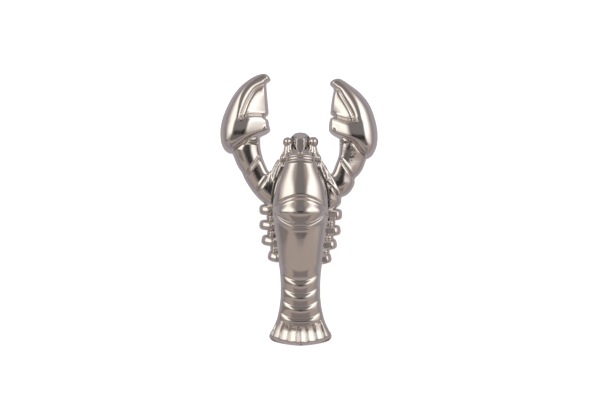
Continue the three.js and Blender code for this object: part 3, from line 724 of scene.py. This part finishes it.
def make_belly():
    half = curve(BELLY, per=6)
    outline = np.vstack([half, half[-2:0:-1] * (-1, 1)])
    grid = Map((-52, -95, 52, 56), 0.3)
    slab_depth = grid.inside(outline).blurred(0.35)
    arm = arm_depth(grid)
    relief = arm_relief(grid)
    # The arms' inner edges are rounded more tightly than the outer ones.
    near_inner = np.minimum(*[grid.far(curve(edge, per=4))[0] for edge in INNER_EDGES])
    tight = 5.6 - 2.6 * step(grid.y, 29, 34) * (grid.x < 0)
    reach = grid.like(8.0 - tight * bell(near_inner, 5.0)).blurred(0.6)

    def field(x, y, z):
        depth = slab_depth(x, y)
        slab = cut(cut(-depth, z - RIM, 0.7), FLOOR - z, 3.0)
        limb = swelling(arm(x, y), reach(x, y), ARM_RISE, z - ARM_WALL + relief(x, y), 2.1)
        limb = cut(limb, FLOOR - z, 2.4)
        body = union(slab, limb, 1.6)
        for leg in LEGS:
            body = union(body, leg_field(x, y, z, leg), 0.8)
        for web_x, web_y in WEBS:
            body = union(body, ball(x, y, z, (web_x, web_y, 2.0), (3.2, 2.6, 5.0)), 0.8)
        body = union(body, feelers(x, y, z), 0.5)
        body = cut(body, FLOOR - z, 0.4)
        body = with_nose(body, x, y, z, depth)
        return hollowed_belly(body, x, y, z, depth)

    return mesh_of("belly_casting", field, (-49, -91, -0.9), (49, 52, 17.4), 0.46)


# ---------------------------------------------------------------- materials

# Painted shade: the dark colour mixed into the base colour in hollows, standing in for the shade in grooves
# and corners.
HOLLOW_SHADE = (0.22, 0.19, 0.18, 1)


def plated(name, tint, rough):
    """Bright metal: a mirror with slight ripples from the casting under it, and faint handling marks."""
    m = bpy.data.materials.new(name)
    m.use_nodes = True
    nodes, links = m.node_tree.nodes, m.node_tree.links
    shader = nodes["Principled BSDF"]
    shader.inputs["Metallic"].default_value = 1.0
    where = nodes.new("ShaderNodeTexCoord")

    def noise(scale, detail):
        made = nodes.new("ShaderNodeTexNoise")
        made.inputs["Scale"].default_value = scale
        made.inputs["Detail"].default_value = detail
        links.new(where.outputs["Object"], made.inputs["Vector"])
        return made.outputs["Fac"]

    # Slightly uneven tone, and painted shade that darkens the corners and grooves.
    ramp = nodes.new("ShaderNodeValToRGB")
    dark, bright = ramp.color_ramp.elements
    dark.position = 0.3
    bright.position = 0.7
    dark.color = (*[c * 0.95 for c in tint], 1)
    bright.color = (*tint, 1)
    links.new(noise(60, 4), ramp.inputs["Fac"])
    # The hollow measure mixes the painted shade colour into the base colour.
    hollow = nodes.new("ShaderNodeAttribute")
    hollow.attribute_name = "hollow"
    hollow_shade_mix = nodes.new("ShaderNodeMix")
    hollow_shade_mix.data_type = "RGBA"
    hollow_shade_mix.inputs["B"].default_value = HOLLOW_SHADE
    links.new(hollow.outputs["Fac"], hollow_shade_mix.inputs["Factor"])
    links.new(ramp.outputs["Color"], hollow_shade_mix.inputs["A"])
    links.new(hollow_shade_mix.outputs["Result"], shader.inputs["Base Color"])
    # Fine handling marks.
    spread = nodes.new("ShaderNodeMapRange")
    spread.inputs["To Min"].default_value = rough * 0.7
    spread.inputs["To Max"].default_value = rough * 1.4
    links.new(noise(900, 6), spread.inputs["Value"])
    links.new(spread.outputs["Result"], shader.inputs["Roughness"])
    # Ripples.
    bump = nodes.new("ShaderNodeBump")
    bump.inputs["Strength"].default_value = 0.12
    bump.inputs["Distance"].default_value = 0.2 * MM
    links.new(noise(220, 2), bump.inputs["Height"])
    links.new(bump.outputs["Normal"], shader.inputs["Normal"])
    return m


# ---------------------------------------------------------------- making

plating = plated("bright_plating", (0.78, 0.75, 0.73), 0.09)
steel = plated("turned_steel", (0.60, 0.60, 0.61), 0.22)

for side in ("left", "right"):
    claw = make_claw(side)
    claw.data.materials.append(plating)
    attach(claw, "belly")
    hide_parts(f"{side}_claw")

back = make_back()
back.data.materials.append(plating)
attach(back, "back")
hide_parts("back_lever")

belly = make_belly()
belly.data.materials.append(plating)
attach(belly, "belly")
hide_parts("belly_lever")

TURNED = ("hinge_pin", "left_hinge_washer", "right_hinge_washer", "left_claw_screw", "right_claw_screw")
for node in TURNED:
    for material_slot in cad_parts[node].material_slots:
        material_slot.material = steel


# ---------------------------------------------------------------- table, light and camera

def glowing(name, colour, strength):
    """A dull surface that also gives off white light."""
    m = bpy.data.materials.new(name)
    m.use_nodes = True
    shader = m.node_tree.nodes["Principled BSDF"]
    shader.inputs["Base Color"].default_value = (*colour, 1)
    shader.inputs["Roughness"].default_value = 0.9
    shader.inputs["Emission Color"].default_value = (1, 1, 1, 1)
    shader.inputs["Emission Strength"].default_value = strength
    return m


bpy.ops.mesh.primitive_plane_add(size=6, location=(0, 0, -0.2 * MM))
table = bpy.context.object
table.name = "table"
table.data.materials.append(glowing("pale_table", (0.9, 0.9, 0.9), 0.75))
table.visible_glossy = False

world = bpy.data.worlds.new("studio")
bpy.context.scene.world = world
world.use_nodes = True
wn, wl = world.node_tree.nodes, world.node_tree.links
background = wn["Background"]
direction = wn.new("ShaderNodeTexCoord")
split = wn.new("ShaderNodeSeparateXYZ")
wl.new(direction.outputs["Generated"], split.inputs["Vector"])


def value(kind, *inputs):
    """One step of arithmetic on numbers or node outputs."""
    n = wn.new("ShaderNodeMath")
    n.operation = kind
    for i, v in enumerate(inputs):
        if hasattr(v, "is_linked"):
            wl.new(v, n.inputs[i])
        else:
            n.inputs[i].default_value = v
    return n.outputs[0]


def ease(v, low, high):
    """0 below low, 1 above high, and smooth between; the other way round if low is above high."""
    n = wn.new("ShaderNodeMapRange")
    n.interpolation_type = "SMOOTHSTEP"
    wl.new(v, n.inputs["Value"])
    n.inputs["From Min"].default_value = low
    n.inputs["From Max"].default_value = high
    return n.outputs["Result"]


def blend(share, a, b):
    """Colour a where share is 0, and b where it is 1."""
    n = wn.new("ShaderNodeMix")
    n.data_type = "RGBA"
    wl.new(share, n.inputs["Factor"])
    for socket, colour in ((n.inputs["A"], a), (n.inputs["B"], b)):
        if hasattr(colour, "is_linked"):
            wl.new(colour, socket)
        else:
            socket.default_value = (*colour, 1)
    return n.outputs["Result"]


def length(a, b):
    """Distance from (0, 0)."""
    return value("SQRT", value("ADD", value("MULTIPLY", a, a), value("MULTIPLY", b, b)))


# The room as the mirror-bright castings see it. px and py say where a direction meets a ceiling
# one unit up: the camera is at (0, 0), and the tail points to -py.
dx, dy, dz = split.outputs
high = value("MAXIMUM", dz, 0.02)
px = value("DIVIDE", dx, high)
py = value("DIVIDE", dy, high)
away = length(px, py)
sideways = value("ABSOLUTE", px)
PALE = (0.45, 0.41, 0.435)
MAUVE = (0.34, 0.305, 0.32)
BROWN = (0.46, 0.385, 0.345)
GREY = (0.225, 0.205, 0.20)
BROWN_SHADE = (0.25, 0.215, 0.21)
SIDE_SHADE = (0.25, 0.22, 0.20)
DROP = (0.16, 0.145, 0.145)
DARK = (0.03, 0.026, 0.025)
# Pale below like the table, mauve at the horizon, and brown above it.
room = blend(ease(dz, -0.6, 0.05), PALE, MAUVE)
room = blend(ease(dz, 0.05, 0.5), room, BROWN)
# A darker shape beyond the tail, a grey strip from the middle towards the head, and grey round the camera.
torso = value("MULTIPLY", ease(py, -0.44, -0.72), ease(sideways, 0.8, 0.45))
room = blend(torso, room, BROWN_SHADE)
strip = value("MULTIPLY", ease(py, 0.0, 0.2), ease(sideways, 0.32, 0.10))
strip = value("MULTIPLY", strip, ease(py, 1.9, 0.9))
room = blend(strip, room, GREY)
room = blend(ease(away, 0.34, 0.2), room, GREY)
# Bright panels: side, colours near the middle and far from it, and the turns between which one fades in.
LEFT_PANEL = (-1, (1.42, 1.36, 1.26), (0.80, 0.71, 0.63), -0.16, 0.3)
RIGHT_PANEL = (1, (1.5, 1.45, 1.38), (0.98, 0.92, 0.88), -0.42, 0.5)
for side, near_glow, far_glow, turn_off, turn_on in (LEFT_PANEL, RIGHT_PANEL):
    out = value("MULTIPLY", px, float(side))
    turn = value("DIVIDE", py, value("MAXIMUM", out, 0.05))
    if side < 0:  # a sharp-edged shade beside the left panel
        edge = value("ADD", turn, value("MULTIPLY", dz, 0.2))
        shade = value("MULTIPLY", ease(edge, -0.25, -0.20), ease(out, 0.45, 0.75))
        shade = value("MULTIPLY", shade, ease(turn, 0.4, 0.1))
        room = blend(value("MULTIPLY", shade, ease(dz, -0.05, 0.1)), room, SIDE_SHADE)
    glow = blend(ease(out, 0.7, 2.2), near_glow, far_glow)
    panel = value("MULTIPLY", ease(out, 0.10, 0.38), ease(dz, 0.05, 0.55))
    panel = value("MULTIPLY", panel, ease(turn, turn_off, turn_on))
    panel = value("MULTIPLY", panel, ease(turn, 2.1, 0.9))
    room = blend(panel, room, glow)
# The camera: a dark spot in a faint drop with a dark rim on its right.
room = blend(ease(away, 0.12, 0.06), room, DARK)
drop_x = value("DIVIDE", px, 0.38)
drop_y = value("DIVIDE", value("ADD", py, 0.17), 0.085)
drop = length(drop_x, drop_y)
room = blend(value("MULTIPLY", ease(drop, 1.1, 0.95), 0.8), room, DROP)
from_rim = value("ABSOLUTE", value("SUBTRACT", drop, 0.95))
rim = value("MULTIPLY", ease(from_rim, 0.16, 0.04), ease(drop_x, -0.1, 0.3))
room = blend(rim, room, DARK)
wl.new(room, background.inputs["Color"])
background.inputs["Strength"].default_value = 1.0

LIGHT_AT = Vector((-0.5, 0.9, 1.3))
light_data = bpy.data.lights.new("top_fill", "AREA")
light_data.shape = "DISK"
light_data.size = 1.2
light_data.energy = 6
light = bpy.data.objects.new("top_fill", light_data)
light.location = LIGHT_AT
light.rotation_euler = (-LIGHT_AT).to_track_quat("-Z", "Y").to_euler()
light.visible_glossy = False
bpy.context.collection.objects.link(light)

CAMERA_AT = Vector((0.004, 0.0026, 0.80))
MIDDLE = 8 * MM  # height at which the camera's view is VIEW_WIDTH across
VIEW_WIDTH = 391.2 * MM
camera_data = bpy.data.cameras.new("camera")
camera_data.sensor_width = 36
camera_data.lens = camera_data.sensor_width * (CAMERA_AT.z - MIDDLE) / VIEW_WIDTH
camera_data.shift_x = -4.3 * MM / VIEW_WIDTH
camera = bpy.data.objects.new("camera", camera_data)
camera.location = CAMERA_AT
bpy.context.collection.objects.link(camera)
bpy.context.scene.camera = camera
bpy.context.scene.view_settings.view_transform = "Standard"
